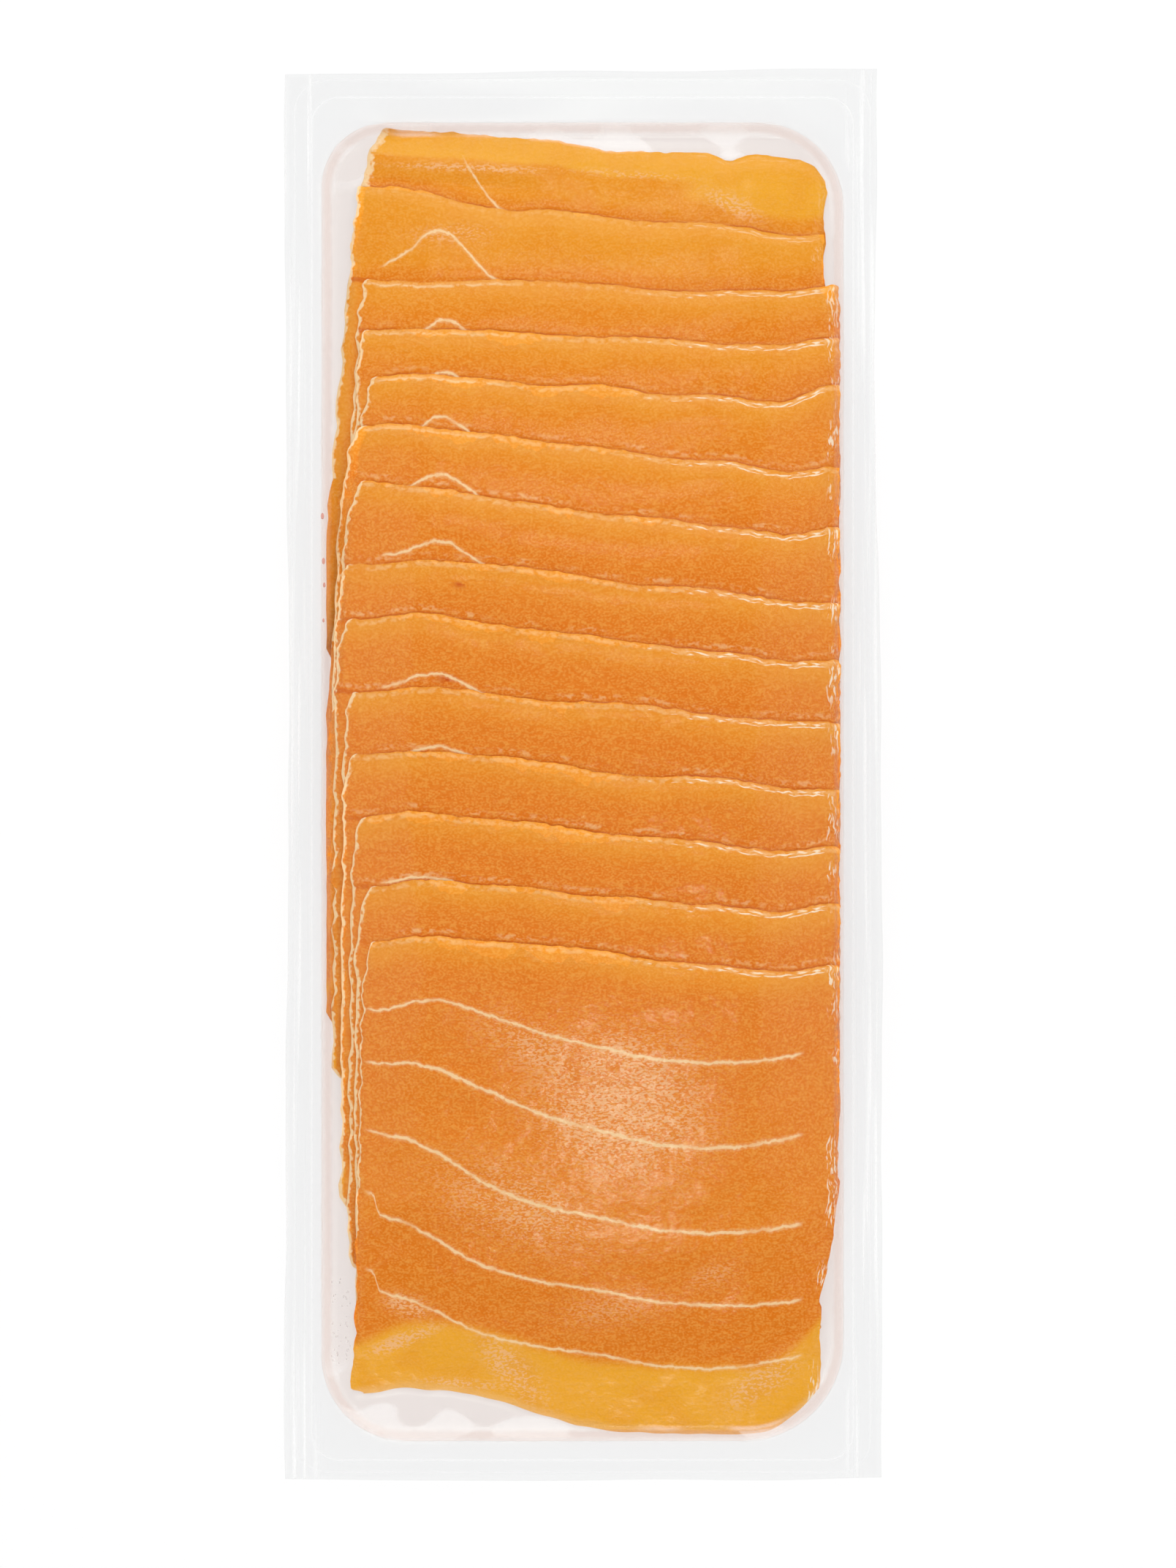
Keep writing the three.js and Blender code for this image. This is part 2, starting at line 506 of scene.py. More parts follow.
LAID = (
    Laid(
        *(126.2, 0.050, -39.6),
        flare=4.6,
        lean=0.03,
        droop=0.0,
        lift=0.6,
        right=48.7,
        crest=2.5,
        bow=(1.6, 0, 24),
        notch=1.9,
        corner=6.5,
        lines_from=-23.0,
        rim=1.1,
        fold=0.45,
    ),
    Laid(
        *(112.4, 0.083, -45.0),
        flare=0.4,
        lean=0.09,
        droop=0.0,
        lift=0.8,
        right=48.5,
        crest=7.2,
        bow=(2.4, 12, 40),
    ),
    Laid(98.3, 0.030, -43.6, flare=1.2, lean=0.05, droop=0.6, lift=2.0, crest=8.0, frost=0.9),
    Laid(87.9, 0.045, -43.2, flare=1.6, lean=0.05, droop=0.4, lift=2.7, crest=8.8, frost=0.75),
    Laid(77.4, 0.075, -41.9, flare=2.4, lean=0.05, droop=0.8, lift=5.0, crest=8.5, frost=0.9),
    Laid(65.8, 0.125, -44.2, flare=3.5, lean=0.06, droop=1.4, lift=2.2, crest=9.2, frost=0.6),
    Laid(53.2, 0.135, -43.8, flare=3.8, lean=0.035, droop=0.4, lift=3.2, crest=10.4, frost=0.3),
    Laid(39.7, 0.118, -46.8, lean=0.06, droop=2.8, lift=0.8, crest=13.0, frost=0.3, stain=(-24.5, 37.9, 1.2)),
    Laid(
        *(28.0, 0.130, -47.0),
        flare=2.4,
        lean=0.01,
        droop=2.9,
        lift=2.2,
        crest=11.6,
        frost=0.25,
        stain=(-27, 19.2, 1.9),
    ),
    Laid(14.5, 0.095, -46.0, flare=2.0, lean=-0.01, droop=1.6, lift=0.6, crest=11.6, frost=0.3),
    Laid(1.7, 0.107, -45.9, flare=2.0, lean=0.008, droop=2.6, lift=1.3, crest=13.0, frost=0.3),
    Laid(-10.7, 0.117, -44.2, flare=2.0, lean=0.01, droop=3.2, lift=2.4, crest=12.6),
    Laid(-23.5, 0.092, -42.4, flare=3.1, lean=0.0, droop=2.7, lift=2.3, crest=13.2),
    Laid(
        *(-35.1, 0.107, -41.9),
        lean=0.022,
        droop=2.8,
        lift=2.8,
        right=51.3,
        crest=12.4,
        lines_from=-42.6,
        rim=0.25,
        tail_cut=2.4,
        tail_radius=2.6,
        tail_bulge=1.0,
    ),
)


@dataclass(frozen=True)
class Slice:
    """One slice: where its four edges run, how thick it is, and where its cream lines run."""

    number: int
    laid: Laid
    wall: float = 51.4  # how far across the pocket's walls let it spread
    length: float = 94.0
    thickness: float = 1.5
    left_corner: float = 0.5  # the radius of its left-hand head corner
    side_share: float = 0.62  # how thick it is along its sides, as a share of its thickness
    taper: Pair = (-9.0, 16.0)  # where it thins out to nothing, as distances from its tail

    def _waver(self, place: Array, *waves: tuple[float, ...]) -> Array:
        """How far an edge wavers along it: the sum of a few uneven lines.

        Args:
            place: places along the edge.
            waves: each wave's seed, shortest and longest length, strength, and perhaps its count of sines.

        Returns:
            The distance at each place.
        """
        return sum(
            Uneven(seed + self.number, shortest, longest, *count).along(place) * strength
            for seed, shortest, longest, strength, *count in waves
        )

    def head_line(self, x: Array) -> Array:
        """Where the head edge lies: a slope that falls off at the left and turns up at the right, uneven.

        Args:
            x: places across, in millimetres.

        Returns:
            How far along it lies at each place.
        """
        laid = self.laid
        rise, start, end = laid.bow
        line = laid.head - laid.slope * x + rise * smooth(-x, start, end)
        line = line - laid.droop * smooth(-x, 29, 47) + laid.lift * smooth(x, 39, 52)
        line = line - laid.notch * bell(x, 29.5, 2.7)
        return line + self._waver(x, (150, 1.4, 3.2, 0.05), (100, 3, 9, 0.09), (200, 18, 45, 0.3, 6))

    def tail_line(self, x: Array) -> Array:
        """Where the tail edge lies: high at the left, a soft S down to the right, and up round the corner.

        Args:
            x: places across, in millimetres.

        Returns:
            How far along it lies at each place.
        """
        shape = 6.4 - 9.6 * sigmoid(x, -11, 7) + 10 * (np.maximum(x - 33, 0) / 15) ** 2
        shape = shape - 1.2 * (np.minimum(x + 33, 0) / 10) ** 2
        return self.laid.head - self.length + shape + self._waver(x, (300, 5, 14, 0.08))

    def _corner_cut(self, down: Array, radius: float) -> Array:
        """How far a round corner pulls a side in, down from the head edge: r less a circle's half chord."""
        t = np.clip(1 - down / radius, 0, 1)
        return radius * (1 - np.sqrt(1 - t * t))

    def left_side(self, down: Array) -> Array:
        """Where the left side lies, by the distance below the head edge: a flare, a lean, and waviness.

        Args:
            down: distances below the head edge.

        Returns:
            How far across it lies at each distance.
        """
        laid = self.laid
        line = laid.left - laid.flare * (1 - np.exp(-np.maximum(down, 0) / 5)) - laid.lean * down
        waves = self._waver(down, (400, 4, 12, 0.2), (450, 1.5, 4, 0.09))
        from_tail = self.length - down
        tail_corner = laid.tail_cut * smooth(from_tail, laid.tail_radius, 0) ** 2
        tail_corner = tail_corner - laid.tail_bulge * bell(from_tail, 3.5, 3)
        against_wall = np.maximum(line + waves, -self.wall + 0.3 * waves)
        return against_wall + self._corner_cut(down, self.left_corner) + tail_corner

    def right_side(self, down: Array) -> Array:
        """Where the right side lies: against the wall, then leaning in past the slice's middle.

        Args:
            down: distances below the head edge.

        Returns:
            How far across it lies at each distance.
        """
        waves = self._waver(down, (500, 4, 16, 0.16), (550, 1.5, 4, 0.1))
        line = self.laid.right - 3.6 * smooth(down, 52, 80) + waves
        return np.minimum(line, self.wall + 0.25 + 0.3 * waves) - self._corner_cut(down, self.laid.corner)

    def gaps(self, x: Array, y: Array) -> tuple[Array, Array, Array, Array]:
        """How far a point lies inside the head edge, the tail edge, the left side and the right side."""
        down = self.head_line(x) - y
        return down, y - self.tail_line(x), x - self.left_side(down), self.right_side(down) - x

    def depth(self, x: Array, y: Array) -> Array:
        """The slice's thickness at a point, which is less along its two sides and towards its tail.

        Args:
            x: places across, in millimetres.
            y: places along, in millimetres.

        Returns:
            The thickness at each place.
        """
        _, tail, left, right = self.gaps(x, y)
        side = self.side_share + (1 - self.side_share) * smooth(np.minimum(left, right), -1, 16)
        return self.thickness * side * smooth(tail, *self.taper)

    def held_up(self, x: Array, y: Array) -> Array:
        """How far this slice lifts what lies over it: its thickness on it, easing to 0 past its edges.

        Args:
            x: places across, in millimetres.
            y: places along, in millimetres.

        Returns:
            The lift at each place.
        """
        head, _, left, right = self.gaps(x, y)
        sides = smooth(left, -2.5, 0) * smooth(right, -4, 0.5)
        return self.depth(x, y) * smooth(head, -1.0, 0) * sides

    def present(self, x: Array, y: Array, over: bool) -> Array:
        """How far this slice darkens what is seen at a point: 1 on it, or 1.2 if it lies over, and 0 off it.
        The darkening is painted: thinner places stay lighter, as light through them would make them.

        Args:
            x: places across.
            y: places along.
            over: whether it lies over the slice that is seen, and so only darkens what is just beside it, as
                a painted shade.

        Returns:
            The share at each place.
        """
        head, tail, left, _ = self.gaps(x, y)
        if over:
            return 1.2 * smooth(head, -6.0, 0.5) * smooth(left, -2.5, 1.0)
        return smooth(head, -3, 1) * smooth(tail + 3.0 * smooth(x, -31, -46), -1.0, 5.5)

    @staticmethod
    def _edge(gap: Array, height: Array | float, reach: Array | float, tent: float) -> Array:
        """The rise over an edge: up to a height over the tent outside, then to 1 by 1 - e^(-gap / reach)."""
        inside = height + (1 - height) * (1 - np.exp(-np.maximum(gap, 0) / reach))
        return np.where(gap > 0, inside, height * smooth(gap, -tent, 0))

    def rise(self, x: Array, y: Array) -> Array:
        """The share of its thickness that the slice stands up: soft edges, crisper to the right.

        Args:
            x: places across, in millimetres.
            y: places along, in millimetres.

        Returns:
            The share at each place.
        """
        head, tail, left, right = self.gaps(x, y)
        crisp = smooth(x, 0, 38)
        return (
            self._edge(head, 0.04 + 0.16 * crisp, 5.0 - 3.9 * crisp, 0.6)
            * self._edge(tail, 0.35, 1.6, 1.2)
            * self._edge(left, 0.2, 0.55, 0.5)
            * self._edge(right, 0.3, 0.7, 0.5)
        )

    def relief(self, x: Array, y: Array) -> Array:
        """The slice's own low bumps and hollows, in millimetres, and its ridge with a groove below it.

        Args:
            x: places across, in millimetres.
            y: places along, in millimetres.

        Returns:
            The height at each place.
        """
        down = self.head_line(x) - y
        fold = bell(down, 6.2, 1.8) - 0.9 * bell(down, 10.4, 1.5)
        return 0.04 * Uneven(600 + self.number, 7, 26).at(x, y) + self.laid.fold * fold * smooth(x, -2, -14)

    def lines(self, x: Array, down: Array) -> Array:
        """Counts up through the slice's cream lines: 1 on the first, 2 on the second, and so on to 5.

        Each line is its start plus a rise that goes as a sigmoid across the slice, less a fall near the
        right side. The first has a hump at the left, and the last two turn up at the left side. Between two
        lines the count goes up evenly.

        Args:
            x: places across.
            down: distances below the head edge.

        Returns:
            The count at each place.
        """
        starts = (13.3, 23.5, 36.0, 50.0, 66.0)
        rises = (6.4, 13.5, 18.0, 18.5, 15.5)
        middles = (-12.0, -18.0, -26.0, -32.0, -33.0)
        reaches = (6.0, 8.5, 8.0, 8.0, 8.0)
        falls = (3.3, 4.4, 3.4, 2.4, 4.4)
        places = [
            start + rise * sigmoid(x, middle, reach) - fall * smooth(x, 22, 48)
            for start, rise, middle, reach, fall in zip(starts, rises, middles, reaches, falls)
        ]
        hump = starts[0] - self.laid.crest
        places[0] = places[0] + 0.5 * hump * smooth(x, -20, -32) - 1.5 * hump * bell(x, -28.5, 7)
        for hooked in (3, 4):
            places[hooked] = places[hooked] - 3.4 * smooth(x, -40.7, -41.9)
        outer_gap = 13.0
        before = places[0] - outer_gap
        count = np.zeros_like(x)
        for place in places:
            count += np.clip((down - before) / (place - before), 0, 1)
            before = place
        return count + np.clip((down - before) / outer_gap, 0, 1)


@dataclass(frozen=True)
class Heap:
    """All the slices in their pocket, and the heights of whatever lies on them."""

    pocket: Pocket
    slices: tuple[Slice, ...]
    rest: float = 0.13  # how far the slices keep above the pocket's underside
    wall_fade: float = 0.72  # the share of the pocket's own rise that each slice passes on to the next
    swell: float = 1.8  # how much the slices' thick middles raise the last one
    swell_middle: float = -76.0  # where along the pack that is most
    swell_half_width: float = 52.0
    swell_ends: Pair = (190.0, 44.0)  # how far it reaches to the head and to the tail

    def _base(self, number: int, x: Array, y: Array, floor: Array) -> Array:
        """What lifts a slice besides the slices below it: the formed floor, and their thick middles.

        The floor counts by the wall fade to the power of the slice's number. The pillow shape is the swell
        times (1 - u²)(1 - v²) times the slice's share of the heap's height, with u and v going from -1 to 1
        across and along.

        Args:
            number: the slice's number.
            x: places across, in millimetres.
            y: places along, in millimetres.
            floor: the lower film's height at each place.

        Returns:
            The height at each place.
        """
        across = np.clip(x / self.swell_half_width, -1, 1)
        past = y - self.swell_middle
        along = np.clip(past / np.where(past > 0, *self.swell_ends), -1, 1)
        swell = self.swell * number / (len(self.slices) - 1) * (1 - across**2) * (1 - along**2)
        return self.rest + floor * self.wall_fade**number + swell

    def under(self, number: int, x: Array, y: Array) -> Array:
        """The height on which a slice lies: its base plus what each lower slice lifts it.

        Args:
            number: the slice's number.
            x: places across, in millimetres.
            y: places along, in millimetres.

        Returns:
            The height at each place.
        """
        height = self._base(number, x, y, self.pocket.floor(x, y))
        for lower in self.slices[:number]:
            height = height + lower.held_up(x, y)
        return height

    def top(self, x: Array, y: Array) -> Array:
        """The height of the heap's top: slice by slice, it goes over to each one's own top where it lies.

        Args:
            x: places across, in millimetres.
            y: places along, in millimetres.

        Returns:
            The height at each place.
        """
        floor = self.pocket.floor(x, y)
        height = floor + 0.1
        lift = np.zeros_like(x)
        for one in self.slices:
            own = self._base(one.number, x, y, floor) + lift + one.depth(x, y) + one.relief(x, y)
            height = height + one.rise(x, y) * (own - height)
            lift = lift + one.held_up(x, y)
        return height

    def layers(self, number: int, x: Array, y: Array) -> Array:
        """How many slices deep the heap looks here, counted down from this slice, with what lies beside; the
        slices' painted light through thin parts and painted shade beside head edges are read from it.

        Args:
            number: the number of the slice that is seen.
            x: places across, in millimetres.
            y: places along, in millimetres.

        Returns:
            The count at each place.
        """
        count = np.ones_like(x)
        for other in self.slices:
            if other.number != number:
                count += other.present(x, y, other.number > number)
        return count

    def beyond(self, number: int, x: Array, y: Array) -> Array:
        """How far a slice's face lies beyond the head edge of the slice over it, in millimetres.

        Args:
            number: the slice's number.
            x: places across, in millimetres.
            y: places along, in millimetres.

        Returns:
            The distance at each place, or 99 where no slice lies over it.
        """
        if number + 1 == len(self.slices):
            return np.full_like(x, 99.0)
        return -self.slices[number + 1].gaps(x, y)[0]


@dataclass(frozen=True)
class Sheen:
    """A painted frosty highlight on one slice: a patch's middle, half length and half width, and its turn in
    degrees.
    """

    number: int  # the slice's
    x: float
    y: float
    length: float
    width: float
    turn: float
    strength: float


@dataclass(frozen=True)
class SliceBuilder:
    """Makes one slice's closed mesh over its grid of places across and down."""

    heap: Heap
    width: float = 96.0  # the width for which the columns are spaced
    edge: float = 2.5  # how wide the densest strip is along each edge
    fine: float = 0.25  # the spacing in that strip
    middle: float = 0.55  # the columns' spacing between the strips
    strip: float = 17.0  # how far below the head edge the finer rows reach
    # painted highlights: each a frosty patch on one slice
    sheens: tuple[Sheen, ...] = (
        Sheen(13, -35, -106.3, 5, 2.3, -15, 0.8),
        Sheen(13, -36, -113.2, 8, 1.5, 22, 0.9),
        Sheen(13, -14, -119.5, 10, 3.6, -47, 0.8),
        Sheen(13, 36, -121.5, 9, 3.4, 33, 0.8),
        Sheen(13, 6, -106.5, 15, 4.5, 8, 0.4),
        Sheen(13, 26, -100, 7, 3, 20, 0.4),
        Sheen(13, -24, -122.0, 10, 1.1, -4, 0.7),
        Sheen(13, -6, -56, 18, 6, -28, 0.6),
        Sheen(13, 8, -66, 17, 16, -10, 0.95),
        Sheen(13, -12, -86, 20, 9, -18, 0.6),
        Sheen(0, 30, 114.5, 7, 2.2, -25, 0.7),
        Sheen(0, -22, 121.9, 18, 0.8, -2, 0.8),
        Sheen(0, 10, 120.6, 14, 0.8, -4, 0.6),
        Sheen(1, -26, 108.5, 10, 2.4, 4, 0.5),
    )

    def grid(self, one: Slice, shown_whole: bool) -> tuple[Array, Array]:
        """Shares of the way across and down, dense along the edges and over the part that shows.

        Args:
            one: the slice.
            shown_whole: whether its whole face shows, not just the strip below its head edge.

        Returns:
            The shares across for each column, and down for each row, as two grids.
        """
        width, length, edge, fine, strip = self.width, one.length, self.edge, self.fine, self.strip
        across = stations((0, edge, fine), (edge, width - edge, self.middle), (width - edge, width, fine))
        if shown_whole:
            down = stations((0, edge, fine), (edge, length - edge, 0.8), (length - edge, length, fine))
        else:
            hidden = (strip, length - 2, 2.5), (length - 2, length, 0.4)
            down = stations((0, edge, fine), (edge, strip, 0.7), *hidden)
        return np.meshgrid(across / width, down / length)

    def _sheen(self, number: int, x: Array, y: Array) -> Array:
        """How strong a slice's painted frosty highlight is under the puckered film: the greatest of its
        sheens' turned bells.

        Args:
            number: the slice's number.
            x: places across, in millimetres.
            y: places along, in millimetres.

        Returns:
            The share at each place.
        """
        share = np.zeros_like(x)
        for one in self.sheens:
            if one.number == number:
                turn = math.radians(one.turn)
                along = (x - one.x) * math.cos(turn) + (y - one.y) * math.sin(turn)
                across = (y - one.y) * math.cos(turn) - (x - one.x) * math.sin(turn)
                patch = bell(along, 0, one.length) * bell(across, 0, one.width)
                share = np.maximum(share, one.strength * patch)
        return share

    def _stain(self, laid: Laid, x: Array, y: Array) -> Array:
        """How strong a slice's red stain is: a flat bell round its place."""
        across, along, size = laid.stain
        return bell(x, across, max(size, MM)) * bell(y, along, max(size * 0.4, MM)) * (size > 0)

    def build(self, one: Slice, material: bpy.types.Material) -> bpy.types.Object:
        """Makes a slice as a thin slab whose top and underside meet in a soft edge.

        The top lies on the slices below it plus the thickness times the slice's rise. The underside meets it
        along the edges and falls to the slices below within e^(-inset / half a millimetre).

        Args:
            one: the slice.
            material: its finish.

        Returns:
            The piece.
        """
        last = one.number == len(self.heap.slices) - 1
        across, share_down = self.grid(one, last)
        down = share_down * one.length
        left, right = one.left_side(down), one.right_side(down)
        x = left + (right - left) * across
        head, tail = one.head_line(x), one.tail_line(x)
        y = head + (tail - head) * share_down
        inset = np.minimum(np.minimum(x - left, right - x), np.minimum(head - y, y - tail))
        bed = self.heap.under(one.number, x, y)
        height = (one.depth(x, y) + one.relief(x, y)) * one.rise(x, y)
        underside = bed + height * np.exp(-inset / 0.5)
        index = np.arange(x.size).reshape(x.shape)
        below = index.copy()
        inner = (slice(1, -1), slice(1, -1))
        below[inner] = x.size + np.arange(below[inner].size).reshape(below[inner].shape)
        places = np.concatenate(
            [
                np.stack([x, y, bed + height], axis=-1).reshape(-1, 3),
                np.stack([x[inner], y[inner], underside[inner]], axis=-1).reshape(-1, 3),
            ]
        )
        faces = np.concatenate([quads(index), quads(below)[:, ::-1]])
        piece = make_piece(f"slice_{one.number + 1:02d}", places, faces, material)
        # the counts that the painted light through thin parts and the painted shade beside head edges are
        # read from
        layers = self.heap.layers(one.number, x, y)
        if one.number == 0:  # deeper in colour below its ridge, counted as one more slice under it
            layers = layers + smooth(head - y, 4.2, 6.4) * smooth(x, 32, 8)
        no_rim = smooth(left, -50.3, -50.9) + last * smooth(down, 55, 80)
        values = {
            "layers": layers,
            "depth": layers + 0.35 * one.number,
            "head_inset": head - y,
            "tail_inset": y - tail,
            "left_inset": (x - left) * 0.45 / one.laid.rim + 3 * no_rim,
            "right_inset": right - x,
            "gleam": np.full_like(x, min(1.0, 0.12 + 0.28 * one.number)),
            "stain": self._stain(one.laid, x, y),
            "sheen": self._sheen(one.number, x, y),
            "frost": one.laid.frost * smooth(x, -8, -20) * smooth(x, left, left + 2),
            "beyond": self.heap.beyond(one.number, x, y),
            "lines": one.lines(x, head - y),
            "shown": smooth(x, one.laid.lines_from - 1.5, one.laid.lines_from + 1) * smooth(x, 44.4, 42.8),
        }
        for name, shown in values.items():
            write_values(piece, name, np.concatenate([shown.ravel(), shown[inner].ravel()]))
        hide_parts(NODE)
        return piece


# The film
# --------


@dataclass(frozen=True)
class Film:
    """The two webs of clear film: the formed lower one and the one drawn tight over the slices."""

    heap: Heap
    width: float
    length: float
    thickness: float = 0.1
    gap: float = 0.14  # how far the upper web keeps above what it lies on
    weld_rows: Pair = (132.0, -134.4)  # where the straight rows past the slices start
    row_ends: Pair = (-46.0, 50.0)  # past these, a row no longer follows its head edge
    calm: float = 0.45  # how crinkled it is outside the patches
    patches: tuple[tuple[float, float, float, float], ...] = (  # each a middle and a reach, across and along
        (-4, -66, 29, 24),
        (-14, -93, 14, 8),
        (-34, -107, 9, 4),
        (35, -120, 9, 4),
        (30, 114, 7, 4),
        (-25, 109, 10, 4),
        (-26, 121, 12, 3),
    )

    def columns(self) -> Array:
        """Places across, dense where the slices' left sides fan out and along the right wall.

        Returns:
            The places in order.
        """
        half, pocket = self.width / 2, self.heap.pocket.half_width
        return stations(
            (-half, -pocket, 1.3),
            (-pocket, -40, 0.36),
            (-40, 46, 1.6),
            (46, pocket, 0.4),
            (pocket, half, 1.3),
        )

    def rows(self) -> list[Line]:
        """The rows from head to tail, each a function that gives y at x, bunched at every head edge.

        Returns:
            The rows in order.
        """
        edge = self.length / 2
        slices = self.heap.slices
        first, last = slices[0], slices[-1]
        rows: list[Line] = []

        def between(upper: Line, lower: Line, count: int) -> None:
            """Adds the rows that divide the room between two rows into a count of strips."""
            for share in np.arange(1, count) / count:
                rows.append(lambda x, s=share: upper(x) * (1 - s) + lower(x) * s)

        def beside(line: Line, offset: float) -> Line:
            """A row that keeps a distance from an edge line, and runs straight past the slices' sides."""
            return lambda x: line(np.clip(x, *self.row_ends)) + offset

        def level(place: float) -> Line:
            """A straight row."""
            return lambda x: np.full_like(x, place)

        head, tail = self.weld_rows
        rows.extend(level(place) for place in stations((edge, head + 1, 1.4), (head + 1, head, 0.4)))
        step = (1.2, 0.85, 0.55, 0.28, 0, -0.28, -0.6, -1.0, -1.6, -2.4)
        between(level(head), beside(first.head_line, step[0]), 7)
        for one, following in zip(slices, [*slices[1:], None]):
            rows.extend(beside(one.head_line, offset) for offset in step)
            if following:
                between(beside(one.head_line, step[-1]), beside(following.head_line, step[0]), 8)
        between(beside(last.head_line, step[-1]), beside(last.tail_line, 2), 66)
        rows.extend(beside(last.tail_line, offset) for offset in (2, 1.4, 0.9, 0.4, 0, -0.4, -0.9, -1.6))
        between(beside(last.tail_line, -1.6), level(tail), 6)
        rows.extend(level(place) for place in stations((tail, -edge, 1.2)))
        return rows

    def outline(self, x: Array, y: Array) -> tuple[Array, Array]:
        """Bends the flange to the film's uneven cut: each side goes out as far as its own edge line.

        Args:
            x: places across, in millimetres.
            y: places along, in millimetres.

        Returns:
            The moved places across and along.
        """
        half, pocket = self.width / 2, self.heap.pocket.half_width
        waver = Uneven(31, 25, 80, 6).at(y + 300 * (x > 0)) * 0.1
        right = half - 1.5 * bell(y, 82, 45) - 0.7 * smooth(y, 105, 140) + waver
        left = half - 0.3 - 0.9 * bell(y, 5, 60) + waver
        share = np.clip((np.abs(x) - pocket) / (half - pocket), 0, 1)
        moved_x = x + np.sign(x) * share * (np.where(x > 0, right, left) - half)
        tilt = np.where(y > 0, 0.55 * x / half, 0.3 * (x / half) ** 2 - 0.25)
        past = smooth(np.abs(y), 134, self.length / 2)
        return moved_x, y + past * (tilt + 0.12 * Uneven(33, 30, 90, 6).at(x + 300 * (y > 0)))

    def pucker(self, x: Array, y: Array) -> Array:
        """How crinkled the web is where it clings: a little all over, and more in each patch's bell.

        Args:
            x: places across, in millimetres.
            y: places along, in millimetres.

        Returns:
            The share at each place.
        """
        share = np.full_like(x, self.calm)
        for place_x, place_y, reach_x, reach_y in self.patches:
            share = np.maximum(share, bell(x, place_x, reach_x) * bell(y, place_y, reach_y))
        return share

    def upper(self, material: bpy.types.Material) -> bpy.types.Object:
        """Makes the upper web: the height of whatever lies below it, plus a gap.

        Args:
            material: its finish.

        Returns:
            The piece.
        """
        columns, rows = self.columns(), self.rows()
        x = np.broadcast_to(columns, (len(rows), len(columns))).copy()
        y = np.stack([row(columns) for row in rows])
        x, y = self.outline(x, y)
        z = self.heap.top(x, y) + self.gap
        piece = make_piece("film_upper", *grid_mesh(x, y, z), material)
        pocket = self.heap.pocket
        covered = smooth(z - self.gap - pocket.floor(x, y), 0.12, 0.35)
        inside = smooth(pocket.half_width_at(x, y) - np.abs(x), 0, 1)
        inside = inside * smooth(y, pocket.tail, pocket.tail + 1) * smooth(y, pocket.head, pocket.head - 1)
        write_values(piece, "pucker", (covered * self.pucker(x, y)).ravel())
        write_values(piece, "bare", (inside * (1 - covered)).ravel())
        self._thicken(piece)
        return piece

    def lower(self, material: bpy.types.Material) -> bpy.types.Object:
        """Makes the lower web inside the weld: the pocket's floor and its two fillets.

        Args:
            material: its finish.

        Returns:
            The piece.
        """
        pocket = self.heap.pocket
        shares = stations((-1, -0.9, 0.01), (-0.9, 0.9, 0.06), (0.9, 1, 0.01))
        along = stations((pocket.head, 116, 0.6), (116, -116, 4), (-116, pocket.tail, 0.6))
        share, y = np.meshgrid(shares, along)
        x = share * pocket.half_width_at(share, y)
        piece = make_piece("film_lower", *grid_mesh(x, y, pocket.floor(x, y)), material)
        self._thicken(piece)
        return piece

    def _thicken(self, piece: bpy.types.Object) -> None:
        """Gives a web its thickness, upwards, and says what it replaces.

        Args:
            piece: the web.
        """
        wall = piece.modifiers.new("wall", "SOLIDIFY")
        wall.thickness = self.thickness * MM
        wall.offset = 1
        piece.visible_shadow = False
        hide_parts(NODE)


